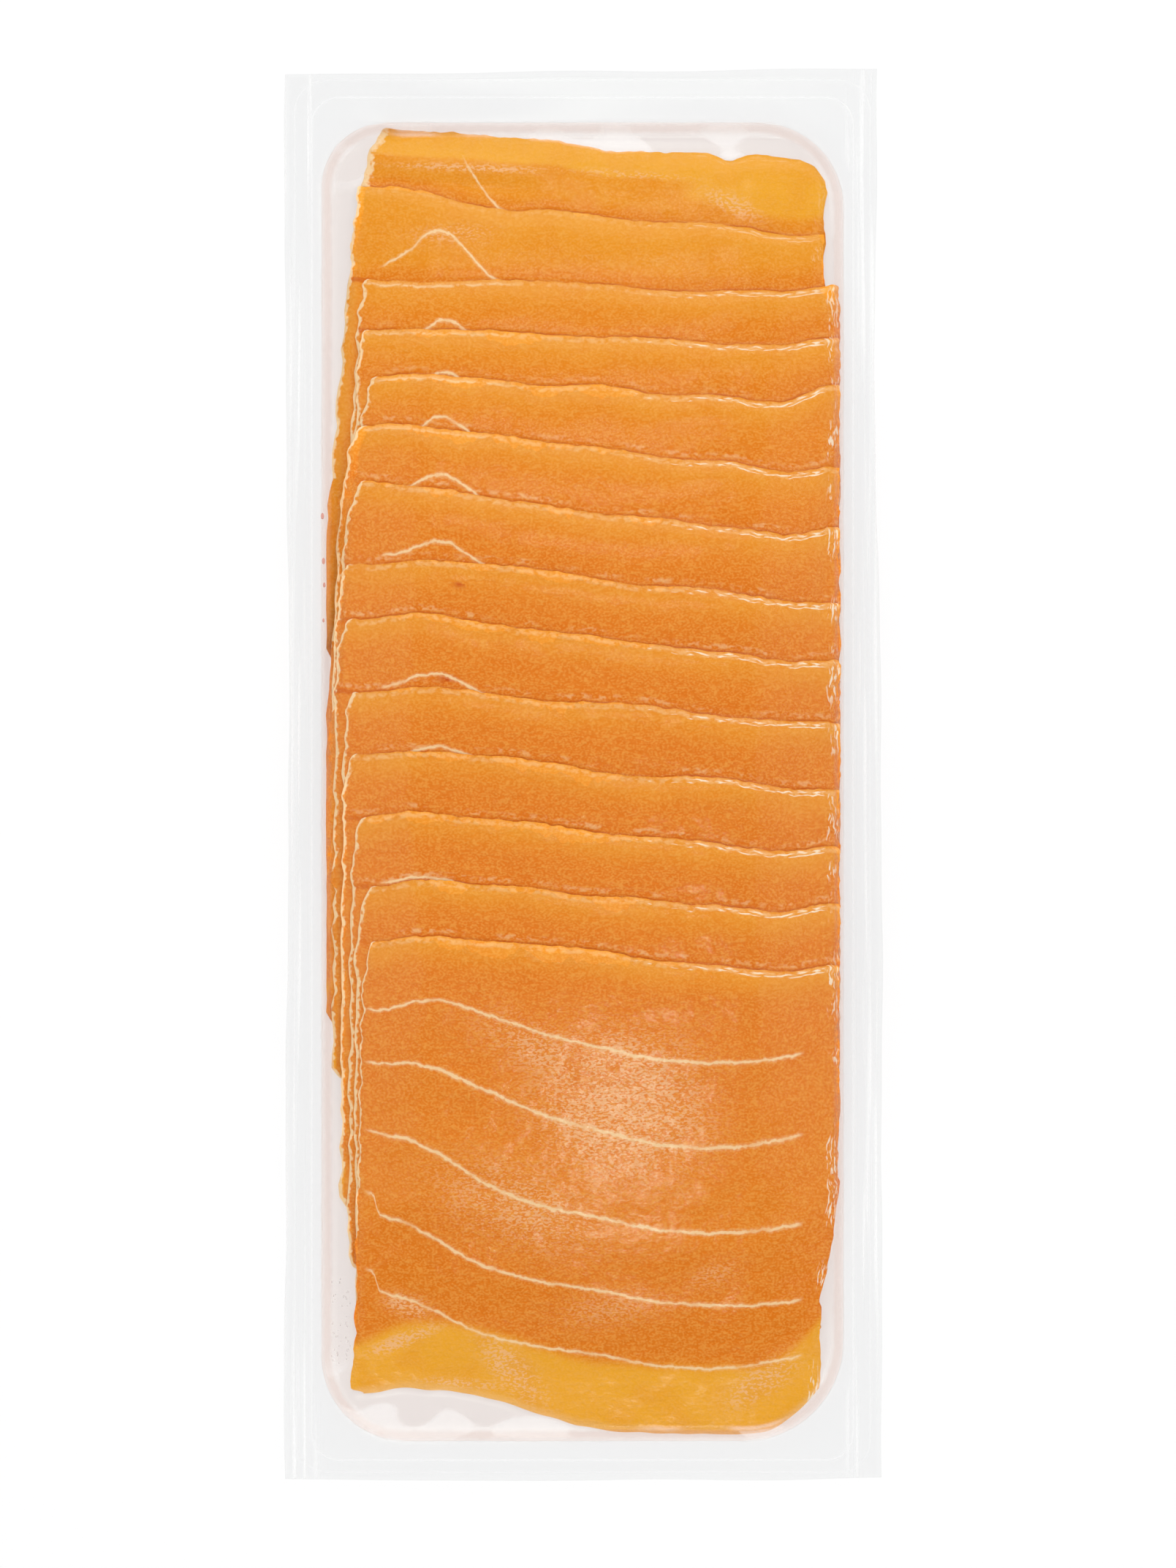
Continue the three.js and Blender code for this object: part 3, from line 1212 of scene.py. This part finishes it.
@dataclass(frozen=True)
class Drops:
    """Drops of juice under the film, as one mesh of small flat-bottomed domes."""

    pocket: Pocket
    rings: int = 3
    sides: int = 8
    stand: float = 0.12  # how far above the pocket's surface their feet are
    red: tuple[Triple, ...] = (
        (-52.15, 52.0, 0.34),
        (-51.95, 43.0, 0.34),
        (-51.8, 38.2, 0.27),
        (-51.95, 31.1, 0.22),
    )
    fine_count: int = 44
    fine_area: tuple[float, float, float, float] = (-50.4, -46.6, -118.0, -101.0)  # left, right, tail, head
    fine_radii: Pair = (0.07, 0.15)

    def fine(self) -> tuple[Triple, ...]:
        """Scatters the fine drops: each one's place across and along, and its radius.

        Returns:
            The drops.
        """
        draw = np.random.default_rng(77)
        left, right, tail, head = self.fine_area
        smallest, largest = self.fine_radii
        places = draw.uniform((left, tail, smallest), (right, head, largest), (self.fine_count, 3))
        return tuple(map(tuple, places))

    def build(self, name: str, drops: tuple[Triple, ...], finish: bpy.types.Material) -> bpy.types.Object:
        """Makes each drop as half an ellipsoid, twice as long as it's wide, standing on the pocket's wall.

        A point at angle t from the top and angle a round it lies r sin t cos a across, 2 r sin t sin a along
        and 0.5 r cos t up.

        Args:
            name: the piece's name.
            drops: each drop's place across and along, and its radius.
            finish: the juice.

        Returns:
            The piece.
        """
        turn = np.arange(self.sides) * 2 * np.pi / self.sides
        tilt = np.linspace(0, np.pi / 2, self.rings + 1)[1:, None]
        across, along = np.sin(tilt) * np.cos(turn), 2 * np.sin(tilt) * np.sin(turn)
        ring = np.stack([across, along, 0.5 * np.cos(tilt) + 0 * turn], axis=-1)
        dome = np.concatenate([[[0, 0, 0.5], [0, 0, 0]], ring.reshape(-1, 3)])
        grid = 2 + np.arange(self.rings * self.sides).reshape(self.rings, self.sides)
        beside = np.roll(grid, -1, axis=1)
        top, bottom = np.zeros(self.sides, dtype=int), np.ones(self.sides, dtype=int)
        corners = (
            (top, grid[0], beside[0]),
            (grid[:-1], grid[1:], beside[1:]),
            (grid[:-1], beside[1:], beside[:-1]),
            (bottom, beside[-1], grid[-1]),
        )
        faces = np.concatenate([np.stack(three, axis=-1).reshape(-1, 3) for three in corners])
        row = np.array(drops)[:, None, :]
        stand = self.pocket.floor(row[..., :1], row[..., 1:2]) + self.stand
        feet = np.concatenate([row[..., :2], stand], axis=-1)
        places = feet + row[..., 2:] * dome
        numbers = faces + len(dome) * np.arange(len(drops))[:, None, None]
        piece = make_piece(name, places.reshape(-1, 3), numbers.reshape(-1, 3), finish)
        piece.visible_shadow = False
        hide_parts(NODE)
        return piece


# Finishes
# --------


@dataclass(frozen=True)
class Flesh:
    """The slices' finish: moist orange, painted yellower where the heap is thin as light through thin flesh
    would make it, with cream lines and cut rims, painted shade by the head edges, and painted highlights.
    """

    # the heap's colours by how many slices lie under the one seen: painted light, yellower where few do
    single: Colour = linear(245, 172, 46)
    double: Colour = linear(238, 149, 34)
    deep: Colour = linear(234, 134, 28)
    deepest: Colour = linear(232, 125, 36)
    # painted light on the rounded shoulder below each head edge
    lit_shoulder: Colour = linear(242, 166, 50)
    fibre: Colour = linear(247, 178, 84)
    # a deeper orange, for painted shade and for random darker blotches
    shade: Colour = linear(222, 106, 16)
    # painted shade in the groove above each head edge
    groove_shade: Colour = linear(208, 88, 18)
    stain: Colour = linear(196, 62, 20)
    cream: Colour = linear(251, 212, 160)
    # painted highlights: the glints' colour, and below it the sheen's
    glint: Colour = linear(255, 240, 214)
    sheen: Colour = linear(248, 192, 140)
    line_width: float = 0.35
    line_pitch: float = 13.5

    def make(self) -> bpy.types.Material:
        """Builds the material from the values stored on each slice.

        Returns:
            The material.
        """
        net = material_net("smoked_slice")
        layers = net.value("layers")
        depth = net.value("depth")
        # painted shade where two or three slices lie under the last ones, on the slope down to their tails
        cliff_shade = layers.within(1.6, 3.2, 0.8) * depth.rise(5.5, 6.5)
        # painted light: yellower where few slices lie under the one seen, deeper orange where many do
        colour = net.blend(depth.rise(2.3, 3.6), self.double, self.deep)
        colour = net.blend(depth.rise(4.5, 12.0), colour, self.deepest)
        colour = net.blend(cliff_shade * 0.4, colour, self.shade)
        colour = net.blend(layers.rise(1.75, 1.1), colour, self.single)
        blotch = net.noise(7, 1)
        felt, grain = net.noise(1.0, 2, (1.4, 1, 1)), net.noise(0.4, 0, (1.3, 1, 1))
        colour = net.blend(blotch.rise(0.55, 0.3) * 0.12, colour, self.shade)
        head, beyond = net.value("head_inset"), net.value("beyond")
        # painted shade: deeper orange on the face just above the head edge of the slice over it, wider to the
        # right and weaker where the heap is thin
        above = beyond.rise(-0.9, -0.3)
        right = (net.parts(net.place())[0] / MM).rise(5, 45)
        near = (beyond / (1 + right)).rise(3.6, 0.2) * (0.35 + 0.65 * layers.rise(1.3, 2.2))
        colour = net.blend(near * above * (0.2 + 0.26 * blotch), colour, self.shade)
        # painted light: a lighter band below the head edge, on the slice's rounded shoulder
        colour = net.blend(head.rise(8.0, 0.5) * (0.35 + 0.35 * blotch), colour, self.lit_shoulder)
        colour = net.blend(felt.rise(0.35, 0.8) * 0.24 + grain.rise(0.4, 0.7) * 0.34, colour, self.fibre)
        frosty = felt.rise(0.42, 0.62) * beyond.within(0.7, 1.6, 0.6)
        frosty = frosty * blotch.rise(0.35, 0.6) * depth.rise(3, 9)
        colour = net.blend(frosty * 0.35, colour, self.cream)
        # painted shade: a darker broken line in the groove just above the head edge of the slice over it
        groove_shade = beyond.rise(0.55, 0.15) * above * (blotch + 0.5 * felt).rise(0.55, 0.95)
        colour = net.blend(groove_shade * 0.6, colour, self.groove_shade)
        # painted highlights: flecked frosty sheen where the crinkled film would catch the lamps
        sheen = net.value("sheen")
        fleck = (net.noise(0.45, 1, (1.6, 0.9, 1)) + 0.1 * sheen + 0.25 * (blotch - 0.5)).rise(0.53, 0.64)
        shine = sheen.rise(0.0, 0.7) * fleck * 0.66 + 0.1 * sheen
        colour = net.blend(shine, colour, self.sheen)
        stain = net.value("stain") * felt.rise(0.3, 0.5)
        colour = net.blend(stain * 0.85, colour, self.stain)
        pale = self._lines(net).math("MAXIMUM", self._rim(net, head, felt))
        colour = net.blend(pale, colour, self.cream)
        # painted highlights: glints under the head edges and down the right side
        colour = net.blend(self._glints(net, head, blotch), colour, self.glint)
        bump = net.bump(felt + 0.35 * grain, 0.16)
        sockets = {"Base Color": colour, "Roughness": 0.5, "Normal": bump, "Specular IOR Level": 0.06}
        return net.finish(net.add("BsdfPrincipled", {}, sockets))

    def _lines(self, net: Net) -> Term:
        """Where a cream line runs: at each whole count, with a bright wavering core and a ragged fringe.

        Args:
            net: the material's nodes.

        Returns:
            The share of cream.
        """
        ragged = net.noise(0.7, 1)
        count = net.value("lines") + (net.noise(2.6, 1) - 0.5) * 0.05
        nearest = count.math("ROUND")
        away = abs(count - nearest) * self.line_pitch
        core = 1 - (away - self.line_width * (1.5 * ragged - 0.1)).rise(-0.1, 0.15)
        fringe = (1 - (away - 2.0 * self.line_width * ragged).rise(-0.3, 0.4)) * 0.45
        real = nearest.rise(0.4, 0.6) * nearest.rise(5.6, 5.4)
        strong = net.noise(4, 1).rise(0.2, 0.5) * 0.45 + 0.5
        return core.math("MAXIMUM", fringe) * net.value("shown") * real * strong

    def _glints(self, net: Net, head: Term, blotch: Term) -> Term:
        """Painted highlights where wet creases would catch the light: broken streaks under the head edge and
        down the right side.

        Args:
            net: the material's nodes.
            head: distances below the head edge.
            blotch: the coarse noise.

        Returns:
            The share of light.
        """
        x, y = net.across_and_along()
        right = net.value("right_inset")
        along = net.streaks(x / 2.8, head / 0.36, 2.5)
        band = head.within(0.35, 1.3, 0.5) * x.rise(2, 36) * right.rise(1.5, 4.0)
        down = net.streaks(y / 2.0, right / 0.4, 1.0)
        side = right.within(0.2, 2.4, 0.6) * blotch.rise(0.42, 0.6)
        streaks = (along + 0.2 * (band - 1) + 0.12 * blotch).rise(0.56, 0.68) * band.rise(0.0, 0.3)
        both = streaks.math("MAXIMUM", (down + 0.1 * side).rise(0.62, 0.72) * side)
        return both * net.value("gleam") * 0.8

    def _rim(self, net: Net, head: Term, felt: Term) -> Term:
        """The cream skin along the left side, and the fainter broken ones along the head and tail edges; the
        band under the head edge, as strong as the slice's glints, is partly a painted highlight.

        Args:
            net: the material's nodes.
            head: distances below the head edge.
            felt: the fine noise.

        Returns:
            The share of cream.
        """
        side = 1 - (net.value("left_inset") - 1.5 * net.noise(1.1, 1) + 0.3).rise(-0.15, 0.25)
        # partly cream skin, partly a painted highlight on the shoulder
        band = head.within(0.3, 1.2, 0.6) * 0.3 * felt.rise(0.35, 0.6) * net.value("gleam")
        frost = 1 - abs(head - 0.4 - 0.9 * felt).rise(0.0, 0.45)
        frost = frost * net.value("frost") * felt.rise(0.3, 0.55) * 0.8
        tail_rim = net.value("tail_inset").rise(2.2, 0.2) * 0.3
        return side.math("MAXIMUM", band).math("MAXIMUM", frost).math("MAXIMUM", tail_rim)


@dataclass(frozen=True)
class Juice:
    """The drops' finish: thin, wet and see-through, with a share of its own colour."""

    name: str
    colour: Colour
    body: float  # the share of its own colour

    def make(self) -> bpy.types.Material:
        """Builds the material: a wet surface mixed with a clear one.

        Returns:
            The material.
        """
        net = material_net(self.name)
        clear = net.add("BsdfTransparent", {}, {"Color": WHITE})
        wet = net.add("BsdfPrincipled", {}, {"Base Color": self.colour, "Roughness": 0.25})
        return net.finish(net.mix(self.body, clear, wet))


@dataclass(frozen=True)
class ClearFilm:
    """The film's finish: clear, glossy and crinkled, with faint lines where it's formed and welded, the
    formed ones painted shade and highlight, and painted highlights on its bare parts and flanges.
    """

    name: str
    pocket: Pocket
    clear: Colour
    crinkle: float = 0.065
    gloss: Colour = (0.92, 1, 0.86)
    roughness: float = 0.15
    edge_gloss: float = 0.3  # how much of a mirror it is edge-on
    wall_width: float = 2.3
    weld_inner: Triple = (54.3, 135.9, -137.2)
    weld_outer: Triple = (57.7, 139.4, -139.6)
    # painted shade on the formed wall and its bend
    warm_wall_shade: Colour = linear(216, 176, 158)
    # the weld lines' white, and that of the painted highlights and reflections
    white: Colour = linear(250, 250, 250)

    def _sheet(self, net: Net, least: float, gloss: bpy.types.Node) -> bpy.types.Node:
        """A clear sheet under a gloss, whose share goes from its least by the fifth power of edge-on.

        Args:
            net: the material's nodes.
            least: the gloss's share face-on.
            gloss: the gloss.

        Returns:
            The mixed shader's node.
        """
        clear = net.add("BsdfTransparent", {}, {"Color": self.clear})
        edge_on = Term(net, net.add("LayerWeight", {}, {"Blend": 0.5}).outputs["Facing"])
        return net.mix(edge_on.math("POWER", 5) * self.edge_gloss + least, clear, gloss)

    def plain(self) -> bpy.types.Material:
        """Builds the lower web's material: clear, with gloss that grows edge-on.

        Returns:
            The material.
        """
        net = material_net(self.name)
        gloss = net.add("BsdfGlossy", {}, {"Color": self.gloss, "Roughness": self.roughness})
        return net.finish(self._sheet(net, 0.004, gloss))

    def make(self) -> bpy.types.Material:
        """Builds the material: clear, with gloss that grows edge-on, and its faint marks, painted light and
        shade among them, over that.

        Returns:
            The material.
        """
        net = material_net(self.name)
        height = 0.7 * net.noise(0.7, 1, (1.2, 0.85, 1.0)) + 3.6 * net.noise(3.0, 1)
        normal = net.bump(height * net.value("pucker"), self.crinkle)
        sockets = {"Color": self.gloss, "Roughness": self.roughness, "Normal": normal}
        sheet = self._sheet(net, 0.006, net.add("BsdfGlossy", {}, sockets))
        x, y = net.across_and_along()
        outside = self._outside(x, y)
        for share, colour in self._marks(net, x, y, outside):
            sheet = net.mix(share, sheet, net.add("BsdfDiffuse", {}, {"Color": colour}))
        return net.finish(sheet)

    def _outside(self, x: Term, y: Term) -> Term:
        """The distance outside the pocket's outline, which has its own radius at each corner.

        Args:
            x: places across, in millimetres.
            y: places along, in millimetres.

        Returns:
            The distances, which are less than 0 inside.
        """
        pocket = self.pocket
        right, head = x.rise(-1, 1), y.rise(-1, 1)
        (tail_left, tail_right), (head_left, head_right) = pocket.tail_radii, pocket.head_radii
        at_tail = tail_left + (tail_right - tail_left) * right
        radius = at_tail + (head_left + (head_right - head_left) * right - at_tail) * head
        return self._outside_box(x, y, (pocket.half_width, pocket.head, pocket.tail), radius)

    def _outside_box(self, x: Term, y: Term, box: Triple, radius: Term | float) -> Term:
        """The distance outside a rounded box.

        Args:
            x: places across, in millimetres.
            y: places along, in millimetres.
            box: its half width, its head and its tail.
            radius: its corners' radius.

        Returns:
            The distances, which are less than 0 inside.
        """
        half_width, head, tail = box
        across = abs(x) - half_width + radius
        along = abs(y - (head + tail) / 2) - (head - tail) / 2 + radius
        clipped = across.math("MAXIMUM", 0.0), along.math("MAXIMUM", 0.0)
        corner = (clipped[0] * clipped[0] + clipped[1] * clipped[1]).math("SQRT")
        return corner + across.math("MAXIMUM", along).math("MINIMUM", 0.0) - radius

    def _line(self, away: Term, width: float, soft: float) -> Term:
        """1 on a line and 0 beside it, by the distance from its middle."""
        return 1 - abs(away).rise(width / 2 - soft / 2, width / 2 + soft)

    def _marks(self, net: Net, x: Term, y: Term, outside: Term) -> list[tuple[Term, Colour]]:
        """The film's faint marks, each a share and a colour: the formed wall's painted shade, and then the
        white ones, which are the welds and painted highlights and reflections.

        Args:
            net: the material's nodes.
            x: places across, in millimetres.
            y: places along, in millimetres.
            outside: distances outside the pocket's outline, in millimetres.

        Returns:
            What to lay over the clear sheet, in order.
        """
        fine, patchy = net.noise(2.2, 1), net.noise(8, 0, (1.5, 1, 1))
        uneven = outside + (fine - 0.5) * 0.5
        # painted warm shade on the formed wall, seen through the film
        wall = (uneven + self.wall_width / 2).math("ABSOLUTE").rise(self.wall_width / 2, 0.2)
        # a painted highlight along the wall's foot at the pocket's ends
        inner = self._line(uneven + self.wall_width, 0.5, 0.5) * patchy.rise(0.35, 0.6)
        inner = inner * abs(y).rise(108, 122)
        # a painted darker line at the wall's bend
        outline = self._line(uneven, 0.15, 0.2) * patchy
        weld = self._line(self._outside_box(x, y, self.weld_inner, 5.5), 0.2, 0.3)
        weld = weld + 0.6 * self._line(self._outside_box(x, y, self.weld_outer, 6.5), 0.2, 0.3)
        # painted reflections: faint white streaks down the side flanges
        streaks = net.noise(0.9, 1, (1, 60, 1)).rise(0.52, 0.75)
        streaks = streaks * outside.rise(2.0, 3.5) * abs(x).rise(52, 54)
        # painted highlights on the bare film at the pocket's ends
        facets = patchy.rise(0.5, 0.56) * net.value("bare") * abs(y).rise(116, 122) * 0.16
        white = (streaks * 0.22 + facets).math("MAXIMUM", weld * 0.12)
        return [
            ((wall * 0.1).math("MAXIMUM", outline * 0.13), self.warm_wall_shade),
            ((inner * 0.16).math("MAXIMUM", white), self.white),
        ]


# The studio
# ----------


@dataclass(frozen=True)
class Softbox:
    """A rectangular lamp that faces the pack's middle."""

    name: str
    lean: float  # degrees from straight above
    turn: float  # degrees anticlockwise from +x, seen from above
    distance: float
    size: Pair
    power: float

    def light(self) -> None:
        """Hangs the lamp."""
        data = bpy.data.lights.new(self.name, "AREA")
        data.shape = "RECTANGLE"
        data.size, data.size_y = self.size
        data.energy = self.power
        lamp = bpy.data.objects.new(self.name, data)
        lean, turn = math.radians(self.lean), math.radians(self.turn)
        away = Vector((math.sin(lean) * math.cos(turn), math.sin(lean) * math.sin(turn), math.cos(lean)))
        lamp.location = away * self.distance
        lamp.rotation_euler = away.to_track_quat("Z", "Y").to_euler()
        bpy.context.scene.collection.objects.link(lamp)


@dataclass(frozen=True)
class Studio:
    """A pale floor, soft lamps and a camera that looks straight down."""

    height: float = 1.25  # the camera's, in metres as the next two are
    field_height: float = 0.3149
    aim: Pair = (0.0011, -0.0017)
    sensor: float = 36.0
    floor_reach: float = 1500.0  # half the floor's side, in millimetres
    floor_gap: float = 0.15  # how far below the pack the floor is
    table_glow: float = 0.67
    wall_light: float = 0.5
    ceiling_light: float = 0.03
    lamps: tuple[Softbox, ...] = (
        Softbox("lamp_tail", 20.5, -90, 1.2, (0.12, 0.1), 0.75),
        Softbox("lamp_near", 12, 90, 1.2, (0.12, 0.1), 0.25),
        Softbox("lamp_head", 48, 85, 1.5, (2.2, 1.2), 17.5),
        Softbox("lamp_foot", 54, -95, 1.5, (2.0, 1.0), 6.5),
        Softbox("lamp_right", 50, 0, 1.5, (1.1, 2.0), 8.8),
        Softbox("lamp_left", 50, 180, 1.5, (1.1, 2.0), 8.8),
    )

    def build(self) -> None:
        """Sets up the floor, the lamps, the room's light and the camera."""
        self._floor()
        for lamp in self.lamps:
            lamp.light()
        scene = bpy.context.scene
        scene.world = self._room()
        scene.view_settings.view_transform = "Standard"
        camera_data = bpy.data.cameras.new("camera")
        camera_data.sensor_width = self.sensor
        camera_data.lens = self.sensor * self.height / self.field_height
        camera = bpy.data.objects.new("camera", camera_data)
        camera.location = (*self.aim, self.height)
        scene.collection.objects.link(camera)
        scene.camera = camera

    def _room(self) -> bpy.types.World:
        """Makes the room's light: pale walls all round, and a dark ceiling that puts no veil on film.

        Returns:
            The world.
        """
        net = Net(bpy.data.worlds.new("room"))
        _, _, upwards = net.parts(net.place("Generated"))
        light = self.wall_light + (self.ceiling_light - self.wall_light) * upwards.rise(0.35, 0.85)
        return net.finish(net.add("Background", {}, {"Color": WHITE, "Strength": light}))

    def _floor(self) -> None:
        """Lays a plain pale floor just under the pack, lit a little from below as a light table is."""
        net = material_net("floor")
        shade = net.blend(net.noise(400, 1), (0.29, 0.29, 0.29), (0.31, 0.31, 0.31))
        matte = net.add("BsdfDiffuse", {}, {"Color": shade})
        glow = net.add("Emission", {}, {"Color": WHITE, "Strength": self.table_glow})
        table = net.finish(net.add("AddShader", {}, {0: matte, 1: glow}))
        side = np.array([-self.floor_reach, self.floor_reach])
        x, y = np.meshgrid(side, -side)
        floor = make_object("floor", *grid_mesh(x, y, np.full_like(x, -self.floor_gap)), table)


# The whole
# ---------


def main() -> None:
    """Builds the studio, the slices and the film to the sizes read from the pack's parts, and logs each
    piece's count of faces.
    """
    logging.basicConfig(level=logging.INFO, format="%(message)s")
    Studio().build()
    low, high = CAD_BOX
    width, length = ((high[axis] - low[axis]) / MM for axis in (0, 1))
    slices = tuple(Slice(number, laid) for number, laid in enumerate(LAID))
    heap = Heap(Pocket(), slices)
    flesh = Flesh().make()
    builder = SliceBuilder(heap)
    pieces = [builder.build(one, flesh) for one in slices]
    film = Film(heap, width, length)
    upper = ClearFilm("clear_film", heap.pocket, (0.95, 0.951, 0.952)).make()
    lower = ClearFilm("clear_film_lower", heap.pocket, (0.99, 0.952, 0.937)).plain()
    pieces += [film.upper(upper), film.lower(lower)]
    drops = Drops(heap.pocket)
    red = Juice("red_juice", linear(220, 156, 140), 0.65).make()
    thin = Juice("thin_juice", linear(225, 216, 212), 0.4).make()
    pieces.append(drops.build("juice_drops_red", drops.red, red))
    pieces.append(drops.build("juice_drops_fine", drops.fine(), thin))
    for piece in pieces:
        LOG.info("%s: %d faces", piece.name, len(piece.data.polygons))


if __name__ == "__main__":
    main()
